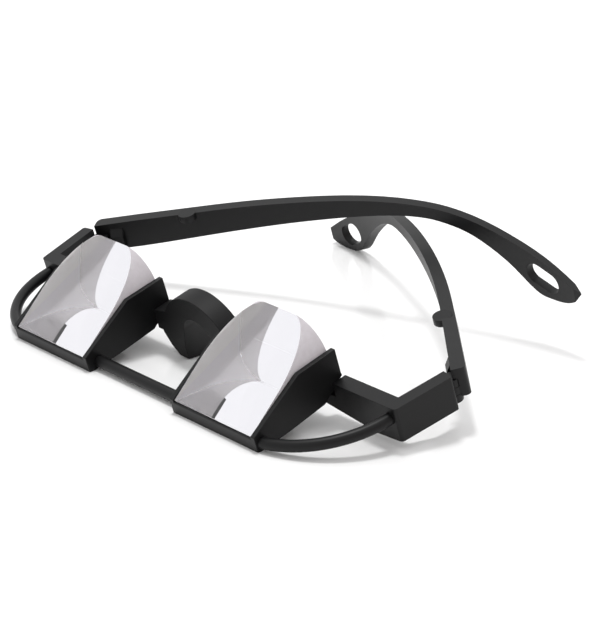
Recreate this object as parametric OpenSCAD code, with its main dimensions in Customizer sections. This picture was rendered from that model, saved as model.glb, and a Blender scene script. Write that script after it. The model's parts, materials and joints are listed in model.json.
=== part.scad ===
// Belay glasses: two mirror-backed prisms in open cradles on a front frame with folding temples.
// The frame's own axes are x across, v back along the temples and w up, with the prism bases on w = 0.
// Every node is then tilted back by pitch and set down on the two cradle lips, the way they lie.

/* [Prisms] */
// Width of one prism across the face
prism_w = 28; // [24:0.5:32]
// Depth of the prism's mirrored base from front to back
prism_d = 26; // [22:0.5:30]
// Angle between the sloping front face and the base
prism_slope = 30; // [28:0.5:31]
// Radius of the two rounded top corners
corner_r = 9.4; // [5:0.2:11]
// Distance between the middles of the two prisms
lens_spacing = 64; // [60:0.5:70]
// Thickness of the mirror layer under the glass
coat_t = 0.15; // [0.1:0.05:0.4]
// Margin left between the mirror layer and the edges of the base
coat_margin = 0.5; // [0.2:0.1:2]
// Thickness of the pad that bonds the mirror layer to the cradle
pad_t = 0.35; // [0.2:0.05:0.8]
// Margin left between the bond pad and the edges of the mirror layer
pad_margin = 0.5; // [0.2:0.1:2]

/* [Cradles] */
// Thickness of the side cheeks
cheek_t = 1.4; // [1:0.1:2]
// Height of the cheeks above the prism base
cheek_rise = 8; // [6:0.1:9.5]
// Height of the cheeks at the lip above the prism base
cheek_lead = 0.45; // [0.2:0.05:0.8]
// Slope of the cheeks' front edge
cheek_slope = 25.4; // [23:0.2:29]
// How far the cheeks reach behind the prism
cheek_back = 1.2; // [0.5:0.1:2]
// Thickness of the cradle floor at the lip
floor_t = 3.3; // [2.8:0.1:3.8]
// How much thinner the floor is at the back
heel = 0.5; // [0.3:0.1:0.8]
// Thickness of the lip in front of the glass
lip_t = 0.4; // [0.3:0.05:1]
// How far the lip's top stays below the front edge of the glass
lip_drop = 0.3; // [0.1:0.05:0.4]
// Depth of the small flat ground under the lip
foot_cut = 0.3; // [0.1:0.05:0.5]
// Tilt of the frame when it lies on its lips
pitch = 16.75; // [14:0.01:20]

/* [Bars] */
// Radius of the round front bar
bar_r = 1.5; // [1:0.1:2]
// Distance of the front bar's middle behind the lip
bar_back = 3.5; // [2.5:0.1:6]
// Depth of the front bar's middle below the prism base
bar_drop = 2.3; // [2:0.1:2.4]
// Radius of the round guard bars
guard_r = 1.45; // [1:0.05:1.8]
// Bend radius of the guard bars
guard_bend = 23.4; // [18:0.2:40]
// Distance of a guard bar's front end behind the lip
guard_v = 1.9; // [1.8:0.1:3]
// Depth of a guard bar's front end below the prism base
guard_drop = 1.9; // [1.4:0.1:1.9]
// Slope of the guard bar's plane down towards the back
guard_dip = 2.5; // [1:0.1:4]

/* [Nose saddle] */
// Front plane of the saddle behind the lip
saddle_v = 22; // [20:0.1:22.5]
// Depth of the saddle from front to back
saddle_d = 5.5; // [4:0.1:6.5]
// Radius of the saddle's top outside
saddle_r = 13.4; // [12:0.1:16]
// Height of the saddle's top above the prism base
saddle_top = 9.3; // [8:0.1:12]
// Radius of the opening's crown over the nose
nose_r = 5.6; // [5:0.1:6.2]
// Thickness of the saddle over the nose opening
nose_wall = 5.8; // [5:0.1:6.5]
// Outward lean of the two flanks below the crown
nose_lean = 16; // [12:1:20]
// How far the saddle's legs reach below the prism base
saddle_leg = 9.9; // [9:0.1:10]
// Width of a leg's foot
leg_w = 2.7; // [2:0.1:3.5]
// How far the legs reach behind the saddle's top
leg_back = 4.5; // [3:0.1:5]
// Outward turn of the two flanks towards the back
nose_flare = 10; // [6:1:14]

/* [End pieces] */
// Reach of an end piece from the cheek to its outer corner
end_reach = 20.7; // [18:0.1:26]
// Front face of the end piece behind the lip
end_v = 24.1; // [23.5:0.1:24.5]
// Thickness of the end piece
end_t = 3.5; // [3:0.1:4]
// Thickness of the end piece across the front
cross_t = 4; // [3.5:0.1:4.5]
// Height of the end piece
end_h = 8.8; // [8.4:0.1:10]
// Top face of the end piece above the prism base
end_top = 0.4; // [0:0.1:0.8]
// Length of the side that runs back to the hinge
end_len = 16.2; // [14:0.1:20]
// Outward splay of that side
splay = 8.3; // [6:0.1:11]
// Length of the tongue under the cradle floor
tongue = 6; // [4:0.1:8]

/* [Hinges] */
// Radius of the hinge barrels
barrel_r = 2.05; // [1.9:0.05:2.3]
// Distance of the hinge axis inboard of the temple's middle
hinge_in = 2.24; // [2.1:0.02:2.5]
// Distance of the hinge axis behind the butt face
hinge_back = 1.5; // [1.3:0.05:1.7]
// Depth of the hinge's top below the end piece's top
hinge_drop = 2.7; // [2.4:0.1:2.9]
// Height of the end piece's two barrels
barrel_h = 2; // [1.8:0.1:2.1]
// Clearance round a barrel
barrel_gap = 0.15; // [0.1:0.05:0.3]
// Clearance between barrel ends and at the butt face
end_gap = 0.08; // [0.05:0.01:0.15]
// Radius of the hinge screw
screw_r = 0.8; // [0.6:0.05:0.95]
// Running clearance round the screw
screw_fit = 0.04; // [0.02:0.01:0.08]
// Radius of the screw's head
head_r = 1.4; // [1.2:0.05:1.6]
// Height of the screw's head
head_h = 0.8; // [0.6:0.05:1.1]
// Clearance round the screw's head
head_fit = 0.08; // [0.05:0.01:0.15]
// Outer radius of the threaded insert
insert_r = 1.25; // [1.15:0.05:1.35]
// Length of the threaded insert
insert_h = 1.4; // [1.1:0.1:1.5]
// Clearance round the insert
insert_fit = 0.02; // [0.01:0.01:0.04]

/* [Temples] */
// Length of the temple along its curve
temple_len = 137.5; // [125:0.5:145]
// Thickness at the hinge
temple_t = 3.5; // [3:0.1:3.6]
// Thickness at the tip
tip_t = 2.2; // [1.8:0.1:2.6]
// Inward bend of the middle of the temple
mid_bend = 14.5; // [10:0.5:18]
// Inward bend of the ear hook
hook_bend = 23; // [16:0.5:27]
// Drop of the ear hook's lowest point
hook_drop = 25; // [22:0.2:28]
// Length of the eyelet for a cord
eyelet_l = 10.2; // [9:0.2:11.6]
// Width of the eyelet
eyelet_w = 5.8; // [4:0.1:6]
// Radius of the nub inside the temple
nub_r = 2.4; // [1.8:0.1:2.8]
// Height of the nub
nub_h = 1.8; // [1.2:0.1:2.4]
// Fold of the left temple in the pose shown
fold_left = 56; // [54:0.5:58]
// Fold of the right temple in the pose shown
fold_right = 51; // [49:0.5:53]
// Rise of the left temple towards its tip
rise_left = 3.58; // [3.2:0.02:4]
// Rise of the right temple towards its tip
rise_right = -4.18; // [-4.4:0.02:-3.9]

/* [View] */
// Node to draw

/* [Hidden] */
$fn = 96;

black = [0.12, 0.12, 0.13];
steel = [0.7, 0.7, 0.72];
brass = [0.78, 0.62, 0.3];

prism_h = prism_d * tan(prism_slope);
mid_x = lens_spacing / 2;
in_x = mid_x - prism_w / 2;
out_x = mid_x + prism_w / 2;
bay_x = in_x - cheek_t;
side_x = out_x + cheek_t;
pad_w = -coat_t - pad_t;
floor_w = pad_w - floor_t;
heel_w = floor_w + heel;
nose_fall = 0.58 * saddle_leg;
nose_half = nose_r * cos(nose_lean) + nose_fall * tan(nose_lean);
lift = -(floor_w + foot_cut) * cos(pitch);

// Turning from the frame's axes to the table: forward reach and height of a point.
function deep(v, w) = v * cos(pitch) - w * sin(pitch);
function high(v, w) = v * sin(pitch) + w * cos(pitch) + lift;

end_low = end_top - end_h;
corner_x = side_x + end_reach;
back_dir = [sin(splay), cos(splay)];
out_dir = [cos(splay), -sin(splay)];
butt = [corner_x, end_v] + end_len * back_dir - end_t / 2 * out_dir;
pivot = butt + hinge_back * back_dir - hinge_in * out_dir;
bore_r = screw_r + screw_fit;
stack_top = end_top - hinge_drop;
knuckle_top = stack_top - barrel_h;
knuckle_low = end_low + barrel_h;

// A straight rise from 0 to 1 between two places along the temple.
function ramp(s, from, to) = max(0, min(1, (s - from) / (to - from)));
function heading(s) = mid_bend * ramp(s / temple_len, 0.234, 0.642)
    + hook_bend * ramp(s / temple_len, 0.679, 1);
steps = 40;
pace = temple_len / steps;
function walk(i) = i == 0 ? [0, 0] : walk(i - 1) + pace * [
    -sin(heading((i - 0.5) * pace)), cos(heading((i - 0.5) * pace))];
spine = [for (i = [0:steps]) walk(i)];
function half_t(s) = (temple_t + (tip_t - temple_t) * s / temple_len) / 2;
function side_point(i, way) = let(s = i * pace, h = heading(s), t = half_t(s))
    spine[i] + way * t * [cos(h), sin(h)];
strip = concat([for (i = [0:steps]) side_point(i, 1)], [for (i = [steps:-1:0]) side_point(i, -1)]);
reach = spine[steps][1];

// A smooth line through a few given points.
function pick(l, i) = l[max(0, min(len(l) - 1, i))];
function blend(a, b, c, d, t) = 0.5 * (2 * b + (c - a) * t + (2 * a - 5 * b + 4 * c - d) * t * t
    + (3 * b - a - 3 * c + d) * t * t * t);
function smooth(l, n) = concat(
    [for (i = [0:len(l) - 2], j = [0:n - 1]) blend(pick(l, i - 1), l[i], l[i + 1], pick(l, i + 2), j / n)],
    [l[len(l) - 1]]);

// The temple's upper and lower edges from the side, as shares of its length and of the hook's drop.
upper_edge = [[0, 0.014], [0.035, 0.014], [0.092, 0.014], [0.197, 0.008], [0.39, -0.004], [0.582, -0.03],
    [0.708, -0.102], [0.8, -0.236], [0.888, -0.446], [0.948, -0.622], [0.996, -0.81]];
lower_edge = [[1.006, -0.912], [0.978, -0.997], [0.945, -1.007], [0.912, -0.95], [0.86, -0.66],
    [0.8, -0.416], [0.745, -0.288], [0.69, -0.222], [0.607, -0.205], [0.455, -0.236], [0.292, -0.272],
    [0.095, -0.3], [0, -0.284]];
function outline(rise) = [for (p = concat(smooth(upper_edge, 4), smooth(lower_edge, 4)))
    [max(end_gap, p[0] * reach), p[1] * hook_drop + p[0] * reach * tan(rise)]];

// The rearmost point of the two temples where they lie, which sets the row's origin.
function laid(b, a, fold) = pivot + [
    (b + hinge_in) * cos(fold) - (a - hinge_back) * sin(fold),
    (b + hinge_in) * sin(fold) + (a - hinge_back) * cos(fold)];
outer_line = [for (i = [0:steps]) let(q = side_point(i, 1)) [q[1], q[0]]];
function rear(fold, rise) = max([for (p = outline(rise))
    deep(laid(lookup(p[0], outer_line), p[0], fold)[1], p[1])]);
origin_y = max(rear(fold_left, rise_left), rear(fold_right, rise_right)) / 2;

module on_table() {
    translate([0, -origin_y, lift])
        rotate([pitch, 0, 0])
            children();
}

module left_of() {
    mirror([1, 0, 0])
        children();
}

// Extrudes an outline drawn in v and w across x, and one drawn in x and w back along v.
module across(x0, x1) {
    translate([x0, 0, 0])
        rotate([90, 0, 90])
            linear_extrude(x1 - x0)
                children();
}

module backward(v0, v1) {
    translate([0, v1, 0])
        rotate([90, 0, 0])
            linear_extrude(v1 - v0)
                children();
}

module prism() {
    intersection() {
        across(in_x, out_x)
            polygon([[lip_t, 0], [prism_d, 0], [prism_d, prism_h], [lip_t, lip_t * tan(prism_slope)]]);
        union() {
            translate([in_x, 0, -1])
                cube([prism_w, prism_d + 1, prism_h - corner_r + 1]);
            translate([in_x + corner_r, 0, -1])
                cube([prism_w - 2 * corner_r, prism_d + 1, prism_h + 1]);
            for (x = [in_x + corner_r, out_x - corner_r])
                translate([x, prism_d + 1, prism_h - corner_r])
                    rotate([90, 0, 0])
                        cylinder(r = corner_r, h = prism_d + 1);
        }
    }
}

module mirror_coat() {
    translate([in_x + coat_margin, lip_t + coat_margin, -coat_t])
        cube([prism_w - 2 * coat_margin, prism_d - lip_t - 2 * coat_margin, coat_t]);
}

module bond_pad() {
    gap = coat_margin + pad_margin;
    translate([in_x + gap, lip_t + gap, pad_w])
        cube([prism_w - 2 * gap, prism_d - lip_t - 2 * gap, pad_t]);
}

module cheek(x0) {
    across(x0, x0 + cheek_t)
        polygon([[0, floor_w], [0, cheek_lead], [(cheek_rise - cheek_lead) / tan(cheek_slope), cheek_rise],
            [prism_d + cheek_back, cheek_rise], [prism_d + cheek_back, 0.2 * cheek_rise],
            [prism_d + cheek_back + 0.15, 0.1 * cheek_rise],
            [0.8 * prism_d, heel_w], [0.4 * prism_d, floor_w]]);
}

module cradle() {
    difference() {
        union() {
            across(in_x, out_x)
                polygon([[0, floor_w], [0, -lip_drop],
                    [lip_t, lip_t * tan(prism_slope) - lip_drop], [lip_t, pad_w],
                    [prism_d, pad_w], [prism_d, heel_w],
                    [0.8 * prism_d, heel_w], [0.4 * prism_d, floor_w]]);
            cheek(bay_x);
            cheek(out_x);
        }
        rotate([-pitch, 0, 0])
            translate([bay_x - 1, -5, -lift - 5])
                cube([side_x - bay_x + 2, 20, 5]);
    }
}

module bar() {
    translate([-bay_x, bar_back, -bar_drop])
        rotate([0, 90, 0])
            cylinder(r = bar_r, h = 2 * bay_x);
}

// A guard bar is one round arc from the cheek's front corner to the front face of the end piece.
module guard() {
    first = [side_x, guard_v];
    last = [corner_x - end_t * 0.75, end_v];
    chord = last - first;
    half = norm(chord) / 2;
    side = [-chord[1], chord[0]] / norm(chord);
    hub = (first + last) / 2 + sqrt(guard_bend * guard_bend - half * half) * side;
    start = atan2(first[1] - hub[1], first[0] - hub[0]);
    intersection() {
        translate([0, guard_v, -guard_drop])
            rotate([-guard_dip, 0, 0])
                translate([hub[0], hub[1] - guard_v, 0])
                    rotate([0, 0, start - 8])
                        rotate_extrude(angle = 2 * asin(half / guard_bend) + 16)
                            translate([guard_bend, 0])
                                circle(r = guard_r);
        translate([side_x, -5, -12])
            cube([end_reach + 5, end_v + 5, 20]);
    }
}

// The arched opening for the nose, cut from v0 to v1.
module opening(v0, v1) {
    nose_w = saddle_top - nose_wall - nose_r;
    side = nose_r * cos(nose_lean) - 0.03;
    top_w = nose_w + nose_r * sin(nose_lean);
    translate([0, v1, nose_w])
        rotate([90, 0, 0])
            cylinder(r = nose_r, h = v1 - v0);
    backward(v0, v1)
        polygon([[-side, top_w], [-nose_half, top_w - nose_fall], [-nose_half, -2 * saddle_leg],
            [nose_half, -2 * saddle_leg], [nose_half, top_w - nose_fall], [side, top_w]]);
}

// One leg: its face from the front, narrowed from above and slanted underneath.
module leg() {
    foot = nose_half + leg_w;
    v1 = saddle_v + saddle_d;
    v2 = v1 + leg_back;
    intersection() {
        backward(saddle_v, v2)
            polygon([[2, 1.6], [foot + 5.1, 1.6], [foot + 5.1, heel_w - 0.9],
                [foot + 3.2, 2.4 - saddle_leg], [foot + 1.2, 0.4 - saddle_leg],
                [foot + 0.3, -0.4 - saddle_leg], [foot - 0.2, -2 - saddle_leg], [2, -2 - saddle_leg]]);
        translate([0, 0, -2 * saddle_leg])
            linear_extrude(3 * saddle_leg)
                polygon([[2, saddle_v], [bay_x, saddle_v], [bay_x, saddle_v + 2],
                    [foot + 0.6, v2], [2, v2]]);
        across(2, bay_x)
            polygon([[saddle_v, 2], [saddle_v, -saddle_leg], [saddle_v + 5, -1.4 - saddle_leg],
                [v2, -0.8 - saddle_leg], [v2, 0], [v1, 2]]);
    }
}

// The saddle is a low dome between the cheeks, with two legs and an arched opening that widens backward.
module saddle() {
    hub_w = saddle_top - saddle_r;
    v1 = saddle_v + saddle_d;
    difference() {
        union() {
            intersection() {
                translate([0, v1, hub_w])
                    rotate([90, 0, 0])
                        cylinder(r = saddle_r, h = saddle_d);
                translate([-bay_x, saddle_v - 1, heel_w])
                    cube([2 * bay_x, saddle_d + 2, saddle_top + 20]);
            }
            backward(saddle_v, v1)
                polygon([[-bay_x, 1.6], [-bay_x, heel_w - 0.4], [bay_x, heel_w - 0.4], [bay_x, 1.6],
                    [bay_x - 4.6, 2.6], [4.6 - bay_x, 2.6]]);
            leg();
            left_of()
                leg();
        }
        opening(saddle_v - 1, v1 + leg_back + 1);
        for (way = [-1, 1])
            translate([0, saddle_v + 0.75 * saddle_d, 0])
                rotate([0, 0, way * nose_flare])
                    opening(0, 2 * leg_back);
    }
}

// The tangent point on a barrel seen from a place on the inner face, measured in the butt face's frame.
function touch(q, way) = let(d = [-hinge_in, hinge_back] - q, l = norm(d), a = atan2(d[1], d[0]),
    k = asin(barrel_r / l), r = sqrt(l * l - barrel_r * barrel_r))
    q + r * [cos(a + way * k), sin(a + way * k)];
module at_butt() {
    translate([butt[0], butt[1], 0])
        rotate([0, 0, -splay])
            children();
}

module knuckle(w0, w1) {
    q = [-end_t / 2, -5];
    at_butt()
        translate([0, 0, w0])
            union() {
                translate([-hinge_in, hinge_back, 0])
                    cylinder(r = barrel_r, h = w1 - w0);
                linear_extrude(w1 - w0)
                    polygon([q, q + [0.5, 0], [q[0] + 0.5, -0.4], [-hinge_in, hinge_back], touch(q, 1)]);
            }
}

module end_piece() {
    inner = butt - end_t / 2 * out_dir;
    outer = butt + end_t / 2 * out_dir;
    turn = inner - (inner[1] - end_v - cross_t) / back_dir[1] * back_dir;
    difference() {
        union() {
            intersection() {
                translate([0, 0, end_low - 5])
                    linear_extrude(end_h + 10)
                        polygon([[side_x - tongue, end_v], [corner_x, end_v], outer, inner, turn,
                            [side_x - tongue, end_v + cross_t]]);
                backward(end_v - 1, end_v + end_len + 9)
                    polygon([[side_x - tongue - 1, heel_w], [side_x, heel_w], [side_x, end_top],
                        [corner_x + 9, end_top], [corner_x + 9, end_low], [corner_x, end_low],
                        [side_x + 0.6 * end_reach, end_low - 0.5], [side_x - tongue - 1, end_low + 2.3]]);
            }
            knuckle(knuckle_top, stack_top);
            knuckle(end_low, knuckle_low);
        }
        at_butt()
            translate([-hinge_in, hinge_back, 0])
                union() {
                    translate([0, 0, knuckle_low])
                        cylinder(r = barrel_r + barrel_gap, h = knuckle_top - knuckle_low);
                    translate([0, 0, end_low - 1])
                        cylinder(r = bore_r, h = barrel_h + 2);
                    translate([0, 0, end_low - 1])
                        cylinder(r = head_r + head_fit, h = head_h + 1);
                    translate([0, 0, knuckle_top - 1])
                        cylinder(r = insert_r + insert_fit, h = insert_h + 1);
                }
    }
}

module screw() {
    translate([pivot[0], pivot[1], end_low])
        union() {
            cylinder(r = head_r, h = head_h);
            cylinder(r = screw_r, h = knuckle_top + insert_h - end_low);
        }
}

module insert() {
    translate([pivot[0], pivot[1], knuckle_top])
        difference() {
            cylinder(r = insert_r, h = insert_h);
            translate([0, 0, -1])
                cylinder(r = bore_r, h = insert_h + 2);
        }
}

module eyelet(rise) {
    place = 0.936 * reach;
    h = lookup(place, [for (i = [0:steps]) [spine[i][1], heading(i * pace)]]);
    slot = (eyelet_l - eyelet_w) / 2;
    at_w = -0.786 * hook_drop + place * tan(rise);
    translate([lookup(place, [for (p = spine) [p[1], p[0]]]), place, at_w])
        rotate([0, 0, h])
            rotate([-25 + rise, 0, 0])
                rotate([0, 90, 0])
                    union() {
                        for (y = [-slot, slot])
                            translate([0, y, -8])
                                cylinder(r = eyelet_w / 2, h = 16);
                        translate([-eyelet_w / 2, -slot, -8])
                            cube([eyelet_w, 2 * slot, 16]);
                    }
}

// One temple drawn in its own frame: y back along it, x outward, its butt face on y = 0.
module arm(rise) {
    q = [-temple_t / 2, 6.2];
    nub_y = 0.196 * temple_len;
    difference() {
        union() {
            intersection() {
                translate([0, 0, -2 * hook_drop])
                    linear_extrude(3 * hook_drop)
                        polygon(strip);
                across(-0.5 * temple_len, 0.1 * temple_len)
                    polygon(outline(rise));
            }
            translate([-half_t(nub_y) + 0.3, nub_y, 0.014 * hook_drop - nub_h + nub_y * tan(rise)])
                cylinder(r = nub_r, h = nub_h);
            translate([0, 0, knuckle_low + end_gap])
                linear_extrude(knuckle_top - knuckle_low - 2 * end_gap)
                    polygon([q, q + [0.5, 0], [q[0] + 0.5, 2.6], [-hinge_in, hinge_back], touch(q, -1)]);
            translate([-hinge_in, hinge_back, knuckle_low + end_gap])
                cylinder(r = barrel_r, h = knuckle_top - knuckle_low - 2 * end_gap);
            translate([-temple_t / 2, 0, 0])
                backward(4.4, 7.8)
                    polygon([[0.3, -1], [0, -1], [-1.1, stack_top - 0.6], [-1.1, knuckle_low + end_gap],
                        [0.3, knuckle_low + end_gap]]);
        }
        translate([-hinge_in, hinge_back, knuckle_low])
            cylinder(r = bore_r, h = knuckle_top - knuckle_low);
        translate([-hinge_in, hinge_back, knuckle_top - end_gap])
            cylinder(r = barrel_r + barrel_gap, h = barrel_h + 2 * end_gap);
        translate([-hinge_in, hinge_back, end_low - end_gap])
            cylinder(r = barrel_r + barrel_gap, h = barrel_h + 2 * end_gap);
        eyelet(rise);
    }
}

module hang(fold) {
    translate([pivot[0], pivot[1], 0])
        rotate([0, 0, fold])
            translate([hinge_in, -hinge_back, 0])
                children();
}

module right_cradle() {
    color(black)
        on_table()
            cradle();
}

module left_cradle() {
    color(black)
        on_table()
            left_of()
                cradle();
}

module right_prism() {
    color([0.85, 0.88, 0.9, 0.6])
        on_table()
            prism();
}

module left_prism() {
    color([0.85, 0.88, 0.9, 0.6])
        on_table()
            left_of()
                prism();
}

module right_mirror_coat() {
    color([0.9, 0.9, 0.92])
        on_table()
            mirror_coat();
}

module left_mirror_coat() {
    color([0.9, 0.9, 0.92])
        on_table()
            left_of()
                mirror_coat();
}

module right_bond_pad() {
    color([0.05, 0.05, 0.05])
        on_table()
            bond_pad();
}

module left_bond_pad() {
    color([0.05, 0.05, 0.05])
        on_table()
            left_of()
                bond_pad();
}

module front_bar() {
    color(black)
        on_table()
            bar();
}

module right_guard_bar() {
    color(black)
        on_table()
            guard();
}

module left_guard_bar() {
    color(black)
        on_table()
            left_of()
                guard();
}

module right_end_piece() {
    color(black)
        on_table()
            end_piece();
}

module left_end_piece() {
    color(black)
        on_table()
            left_of()
                end_piece();
}

module nose_saddle() {
    color(black)
        on_table()
            saddle();
}

module right_temple() {
    color(black)
        on_table()
            hang(fold_right)
                arm(rise_right);
}

module left_temple() {
    color(black)
        on_table()
            left_of()
                hang(fold_left)
                    arm(rise_left);
}

module right_hinge_screw() {
    color(steel)
        on_table()
            screw();
}

module left_hinge_screw() {
    color(steel)
        on_table()
            left_of()
                screw();
}

module right_hinge_insert() {
    color(brass)
        on_table()
            insert();
}

module left_hinge_insert() {
    color(brass)
        on_table()
            left_of()
                insert();
}

left_cradle();
right_cradle();
left_prism();
right_prism();
left_mirror_coat();
right_mirror_coat();
left_bond_pad();
right_bond_pad();
front_bar();
left_guard_bar();
right_guard_bar();
left_end_piece();
right_end_piece();
nose_saddle();
left_temple();
right_temple();
left_hinge_screw();
right_hinge_screw();
left_hinge_insert();
right_hinge_insert();
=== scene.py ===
import json
import math
import bpy
import bmesh
from mathutils import Matrix, Vector, Euler


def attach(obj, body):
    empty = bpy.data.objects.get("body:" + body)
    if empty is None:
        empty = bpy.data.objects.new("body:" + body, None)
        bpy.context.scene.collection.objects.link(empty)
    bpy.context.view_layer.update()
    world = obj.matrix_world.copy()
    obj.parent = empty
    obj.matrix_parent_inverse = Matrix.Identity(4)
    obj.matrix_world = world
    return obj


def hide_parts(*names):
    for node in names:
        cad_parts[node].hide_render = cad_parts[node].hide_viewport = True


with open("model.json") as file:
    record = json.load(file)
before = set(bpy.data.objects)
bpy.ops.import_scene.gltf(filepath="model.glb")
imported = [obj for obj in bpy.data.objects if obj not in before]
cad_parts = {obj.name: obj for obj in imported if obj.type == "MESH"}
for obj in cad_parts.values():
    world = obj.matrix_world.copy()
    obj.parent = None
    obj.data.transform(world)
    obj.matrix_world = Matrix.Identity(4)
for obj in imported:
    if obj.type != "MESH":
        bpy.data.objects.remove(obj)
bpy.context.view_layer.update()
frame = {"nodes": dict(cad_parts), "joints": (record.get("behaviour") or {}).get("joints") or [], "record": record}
nodes = frame["nodes"]
joints = {joint["name"]: joint for joint in frame["joints"]}
bodyOf = {node: body for body, held in frame["record"]["behaviour"]["bodies"].items() for node in held}
mm = 0.001
print("stage: frame loaded")

# The frame lies tilted back on its two lips, and the hinge axis gives the tilt.
hingeAxis = joints["right_temple_fold"]["axis"]
tilt = math.atan2(-hingeAxis[1], hingeAxis[2])
levelled = Matrix.Rotation(-tilt, 4, "X")
laidDown = levelled.inverted()


def linear(hexColor):
    parts = [int(hexColor[i:i + 2], 16) / 255 for i in (0, 2, 4)]
    return [p / 12.92 if p <= 0.04045 else ((p + 0.055) / 1.055) ** 2.4 for p in parts] + [1.0]


def addNode(tree, kind, settings=None, links=None):
    node = tree.nodes.new(kind)
    for key, value in (settings or {}).items():
        if key in node.inputs:
            node.inputs[key].default_value = value
        else:
            setattr(node, key, value)
    for key, source in (links or {}).items():
        tree.links.new(source, node.inputs[key])
    return node


# A ramp from one tone to another, driven by a pattern.
def addRamp(tree, dark, light, source):
    ramp = addNode(tree, "ShaderNodeValToRGB", links={"Fac": source})
    ramp.color_ramp.elements[0].color = linear(dark)
    ramp.color_ramp.elements[1].color = linear(light)
    return ramp.outputs[0]


# A noise pattern on the piece's own coordinates, its scale in spots per metre.
def addPattern(tree, perMetre, detail):
    coords = addNode(tree, "ShaderNodeTexCoord").outputs["Object"]
    pattern = addNode(tree, "ShaderNodeTexNoise", {"Scale": perMetre, "Detail": detail}, {"Vector": coords})
    return pattern.outputs[0]


def newMaterial(name):
    material = bpy.data.materials.new(name)
    material.use_nodes = True
    tree = material.node_tree
    tree.nodes.clear()
    return material, tree


# Injection-moulded polyamide, near black, with a spark-eroded grain that leaves it satin, and the same
# mould finish on soft rubber. The grain is drawn 0.6 mm coarse, so that it shows.
mouldFinish = {"perMetre": 1600.0, "detail": 3.0, "strength": 0.08, "depth": 0.00005, "gloss": 0.24}


def makePlastic(name, color, roughness):
    material, tree = newMaterial(name)
    grain = addPattern(tree, mouldFinish["perMetre"], mouldFinish["detail"])
    bump = addNode(tree, "ShaderNodeBump",
                   {"Strength": mouldFinish["strength"], "Distance": mouldFinish["depth"]}, {"Height": grain})
    shader = addNode(tree, "ShaderNodeBsdfPrincipled",
                     {"Base Color": linear(color), "Roughness": roughness,
                      "Specular IOR Level": mouldFinish["gloss"]}, {"Normal": bump.outputs[0]})
    addNode(tree, "ShaderNodeOutputMaterial", links={"Surface": shader.outputs[0]})
    return material


# Polished optical glass, colourless, its polish and clearness varying very slightly every 7 mm or so.
glassFinish = {"perMetre": 150.0, "detail": 2.0, "dark": "fbfcfc", "light": "ffffff", "roughness": 0.004,
               "ior": 1.57}


def makeGlass(name):
    material, tree = newMaterial(name)
    streak = addPattern(tree, glassFinish["perMetre"], glassFinish["detail"])
    tint = addRamp(tree, glassFinish["dark"], glassFinish["light"], streak)
    polish = addNode(tree, "ShaderNodeMapRange", {"To Min": 0.0, "To Max": glassFinish["roughness"]},
                     {"Value": streak})
    shader = addNode(tree, "ShaderNodeBsdfPrincipled",
                     {"IOR": glassFinish["ior"], "Transmission Weight": 1.0},
                     {"Base Color": tint, "Roughness": polish.outputs[0]})
    addNode(tree, "ShaderNodeOutputMaterial", links={"Surface": shader.outputs[0]})
    return material


# Optical glass, finely ground round its edge. Both tones are picked: a greyish painted shade seen from outside,
# and a nearly white painted light where light meets it from within. The grit is drawn 1.1 mm coarse, so that it
# shows.
groundFinishAndPaintedTones = {"perMetre": 900.0, "detail": 2.0, "inner": ("fbf7f5", "fffefd"),
                "outer": ("b9b4b8", "c8c3c8"), "seenThrough": 0.15}


def makeGroundWithPaintedTones(name):
    material, tree = newMaterial(name)
    frost = addPattern(tree, groundFinishAndPaintedTones["perMetre"], groundFinishAndPaintedTones["detail"])
    paintedLitTone = addRamp(tree, *groundFinishAndPaintedTones["inner"], frost)
    paintedShadeTone = addRamp(tree, *groundFinishAndPaintedTones["outer"], frost)
    # Painted light and shade: one frosted glass, nearly white where its back face is seen and greyish where its
    # front face is seen.
    within = addNode(tree, "ShaderNodeNewGeometry").outputs["Backfacing"]
    inner = addNode(tree, "ShaderNodeBsdfDiffuse", links={"Color": paintedLitTone})
    outer = addNode(tree, "ShaderNodeBsdfDiffuse", links={"Color": paintedShadeTone})
    through = addNode(tree, "ShaderNodeBsdfTranslucent", links={"Color": paintedLitTone})
    surface = addNode(tree, "ShaderNodeMixShader",
                      links={"Fac": within, 1: outer.outputs[0], 2: inner.outputs[0]})
    scatter = addNode(tree, "ShaderNodeMixShader", {"Fac": groundFinishAndPaintedTones["seenThrough"]},
                      {1: surface.outputs[0], 2: through.outputs[0]})
    addNode(tree, "ShaderNodeOutputMaterial", links={"Surface": scatter.outputs[0]})
    return material


# Metal, plain or as a silvered layer, its finish varying a little about every 1.4 mm.
metalFinish = {"perMetre": 700.0, "detail": 3.0}


def makeMetal(name, color, roughness, spread):
    material, tree = newMaterial(name)
    wear = addPattern(tree, metalFinish["perMetre"], metalFinish["detail"])
    finish = addNode(tree, "ShaderNodeMapRange", {"To Min": roughness - spread, "To Max": roughness + spread},
                     {"Value": wear})
    shader = addNode(tree, "ShaderNodeBsdfPrincipled", {"Base Color": linear(color), "Metallic": 1.0},
                     {"Roughness": finish.outputs[0]})
    addNode(tree, "ShaderNodeOutputMaterial", links={"Surface": shader.outputs[0]})
    return material


plastic = makePlastic("satinBlackPlastic", "0e0e0f", 0.42)
rubber = makePlastic("softBlackRubber", "0e0e0f", 0.55)
glass = makeGlass("prismGlass")
ground = makeGroundWithPaintedTones("groundGlass")
silver = makeMetal("silveredLayer", "fbfaff", 0.002, 0.002)
steel = makeMetal("screwSteel", "b4b4b8", 0.3, 0.08)
brass = makeMetal("insertBrass", "c9a55a", 0.3, 0.08)
materialOf = {"prism": glass, "coat": silver, "pad": rubber, "saddle": rubber, "screw": steel,
              "insert": brass}


def kindOf(nodeName):
    return nodeName.split("_")[-1]


for nodeName, node in nodes.items():
    node.data.materials.clear()
    node.data.materials.append(materialOf.get(kindOf(nodeName), plastic))
print("stage: materials set")

meshCleaning = {"mergeDistance": 0.002, "flatAngle": 0.6}


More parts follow.
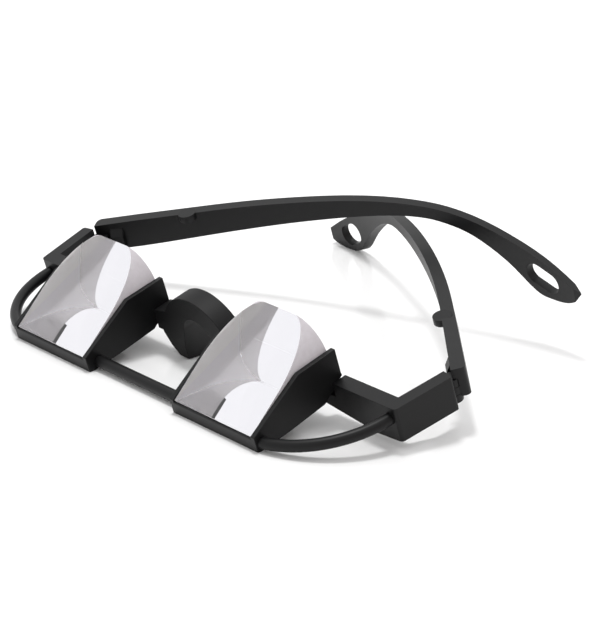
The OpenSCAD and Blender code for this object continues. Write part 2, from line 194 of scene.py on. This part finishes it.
# A merged copy of a node's solid, standing level in the frame's own axes.
def levelCopy(nodeName):
    mesh = bmesh.new()
    mesh.from_mesh(nodes[nodeName].data)
    bmesh.ops.remove_doubles(mesh, verts=mesh.verts, dist=meshCleaning["mergeDistance"] * mm)
    bmesh.ops.dissolve_limit(mesh, angle_limit=math.radians(meshCleaning["flatAngle"]), verts=mesh.verts,
                             edges=mesh.edges)
    bmesh.ops.transform(mesh, matrix=levelled, verts=mesh.verts)
    return mesh


def sharpEdges(mesh, angle):
    return [e for e in mesh.edges if e.is_manifold and e.calc_face_angle(0) > math.radians(angle)]


def roundEdges(mesh, edges, width, segments):
    bmesh.ops.bevel(mesh, geom=edges, offset=width, offset_type="OFFSET", affect="EDGES", segments=segments,
                    profile=0.5, material=-1, clamp_overlap=True)


# Lays the piece back down, shades it smooth below the angle and lets it stand for its node.
def addPiece(mesh, pieceName, nodeName, materials, smoothAngle=35):
    bmesh.ops.transform(mesh, matrix=laidDown, verts=mesh.verts)
    data = bpy.data.meshes.new(pieceName)
    mesh.to_mesh(data)
    mesh.free()
    for material in materials:
        data.materials.append(material)
    data.shade_smooth()
    data.set_sharp_from_angle(angle=math.radians(smoothAngle))
    piece = bpy.data.objects.new(pieceName, data)
    bpy.context.collection.objects.link(piece)
    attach(piece, bodyOf[nodeName])
    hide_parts(nodeName)
    return piece


# Widths and lengths in mm, angles in degrees. Corners are the upright ones at the hinges.
moulding = {"edge": {"cradle": 0.3, "bar": 0.2, "piece": 0.35, "saddle": 1.0, "temple": 0.45},
            "edgeAngle": 28, "edgeSegments": 3, "corner": {"piece": 0.8, "temple": 1.3},
            "cornerAngle": 50, "cornerLength": 7, "cornerUpright": 0.9, "cornerFrom": 60,
            "cornerSegments": 5, "jointBand": 0.3}
for nodeName in nodes:
    kind = kindOf(nodeName)
    if kind not in moulding["edge"]:
        continue
    mesh = levelCopy(nodeName)
    if kind in moulding["corner"]:
        corners = [e for e in sharpEdges(mesh, moulding["cornerAngle"])
                   if e.is_convex and e.calc_length() > moulding["cornerLength"] * mm
                   and abs((e.verts[0].co - e.verts[1].co).normalized().z) > moulding["cornerUpright"]
                   and abs(e.verts[0].co.x) > moulding["cornerFrom"] * mm]
        roundEdges(mesh, corners, moulding["corner"][kind] * mm, moulding["cornerSegments"])
    # An end piece keeps its edges sharp where it meets the cradle.
    inner = min(abs(v.co.x) for v in mesh.verts) + moulding["jointBand"] * mm if kind == "piece" else 0
    edges = [e for e in sharpEdges(mesh, moulding["edgeAngle"]) if max(abs(v.co.x) for v in e.verts) > inner]
    roundEdges(mesh, edges, moulding["edge"][kind] * mm, moulding["edgeSegments"])
    piece = addPiece(mesh, nodeName.replace("_", "") + "Moulding", nodeName,
                     [rubber if kind == "saddle" else plastic])
    weighted = piece.modifiers.new("evenShading", "WEIGHTED_NORMAL")
    weighted.keep_sharp = True
    weighted.mode = "FACE_AREA"
print("stage: mouldings made")

# The prism stands clear of its cradle by these widths in mm, with its ground edge bevelled.
prismFit = {"side": 0.05, "base": 0.03, "lip": 0.05, "groundEdge": 0.12, "slope": 30,
            "sharpAngle": 28, "smoothAngle": 12, "onPlane": 0.01, "aboveBase": 0.1,
            "baseNormal": -0.99, "bandNormal": 0.02}
for side in ("left", "right"):
    nodeName = side + "_prism"
    mesh = levelCopy(nodeName)
    low = Vector([min(v.co[i] for v in mesh.verts) for i in range(3)])
    high = Vector([max(v.co[i] for v in mesh.verts) for i in range(3)])
    for v in mesh.verts:
        v.co.x += prismFit["side"] * mm * (1 if v.co.x < (low.x + high.x) / 2 else -1)
        if v.co.z < low.z + prismFit["onPlane"] * mm:
            v.co.z += prismFit["base"] * mm
        if v.co.y < low.y + prismFit["onPlane"] * mm:
            v.co.y += prismFit["lip"] * mm
            # The corner above the lip slides along the front face, which stays plane.
            if v.co.z > low.z + prismFit["aboveBase"] * mm:
                v.co.z += prismFit["lip"] * mm * math.tan(math.radians(prismFit["slope"]))
    roundEdges(mesh, sharpEdges(mesh, prismFit["sharpAngle"]), prismFit["groundEdge"] * mm, 1)
    # Silver under the base, ground glass with painted light and shade on the bands that run round the sides,
    # polished elsewhere.
    for face in mesh.faces:
        onBase = face.normal.z < prismFit["baseNormal"]
        onBand = abs(face.normal.y) < prismFit["bandNormal"]
        face.material_index = 1 if onBase else 2 if onBand else 0
    piece = addPiece(mesh, side + "PrismGlass", nodeName, [glass, silver, ground], prismFit["smoothAngle"])
    for face in piece.data.polygons:
        face.use_smooth = face.material_index == 2
print("stage: prisms made")

# A glossy white table top.
table = {"size": 4.0, "color": "fafafa", "roughness": 0.16}
floorMesh = bpy.data.meshes.new("tableTop")
build = bmesh.new()
bmesh.ops.create_grid(build, x_segments=1, y_segments=1, size=table["size"])
build.to_mesh(floorMesh)
build.free()
tableTop = bpy.data.objects.new("tableTop", floorMesh)
bpy.context.collection.objects.link(tableTop)
floorMaterial, tree = newMaterial("whiteTable")
floorShader = addNode(tree, "ShaderNodeBsdfPrincipled",
                      {"Base Color": linear(table["color"]), "Roughness": table["roughness"]})
addNode(tree, "ShaderNodeOutputMaterial", links={"Surface": floorShader.outputs[0]})
floorMesh.materials.append(floorMaterial)

# A white room, a little darker and warmer on one side.
room = {"bright": (-0.75, -0.05, 0.65), "from": -0.65, "to": 0.1, "dark": "dcd3d0", "light": "ffffff"}
world = bpy.data.worlds.new("whiteRoom")
bpy.context.scene.world = world
world.use_nodes = True
tree = world.node_tree
tree.nodes.clear()
toward = addNode(tree, "ShaderNodeTexCoord").outputs["Generated"]
lean = addNode(tree, "ShaderNodeVectorMath", {"operation": "DOT_PRODUCT"}, {0: toward})
lean.inputs[1].default_value = room["bright"]
shade = addNode(tree, "ShaderNodeMapRange",
                {"From Min": room["from"], "From Max": room["to"], "To Min": 0.0, "To Max": 1.0},
                {"Value": lean.outputs["Value"]})
wall = addRamp(tree, room["dark"], room["light"], shade.outputs[0])
seen = addNode(tree, "ShaderNodeLightPath").outputs["Is Camera Ray"]
sky = addNode(tree, "ShaderNodeMix", {"data_type": "RGBA"}, {"Factor": seen, 6: wall})
sky.inputs[7].default_value = (1, 1, 1, 1)
glow = addNode(tree, "ShaderNodeBackground", {"Strength": 1.0}, {"Color": sky.outputs[2]})
addNode(tree, "ShaderNodeOutputWorld", links={"Surface": glow.outputs[0]})

overhead = {"watts": 4.5, "side": 0.18, "place": (-0.1, -0.05, 1.0)}
lamp = bpy.data.lights.new("overheadLamp", "AREA")
lamp.energy, lamp.shape = overhead["watts"], "RECTANGLE"
lamp.size, lamp.size_y = overhead["side"], overhead["side"]
lampObject = bpy.data.objects.new("overheadLamp", lamp)
bpy.context.collection.objects.link(lampObject)
lampObject.location = overhead["place"]
lampObject.rotation_euler = (-Vector(overhead["place"])).to_track_quat("-Z", "Y").to_euler()
print("stage: table and light set")

photoView = {"lens": 131.869, "place": (0.415024, -0.352391, 0.209730), "turn": (69.3997, 0.4567, 49.6496)}
camera = bpy.data.cameras.new("photoCamera")
camera.sensor_fit, camera.sensor_width, camera.lens = "AUTO", 36.0, photoView["lens"]
camera.clip_start, camera.clip_end = 0.01, 20.0
cameraObject = bpy.data.objects.new("photoCamera", camera)
bpy.context.collection.objects.link(cameraObject)
cameraObject.location = photoView["place"]
cameraObject.rotation_euler = Euler([math.radians(a) for a in photoView["turn"]], "XYZ")
bpy.context.scene.camera = cameraObject
bpy.context.scene.view_settings.view_transform = "Standard"
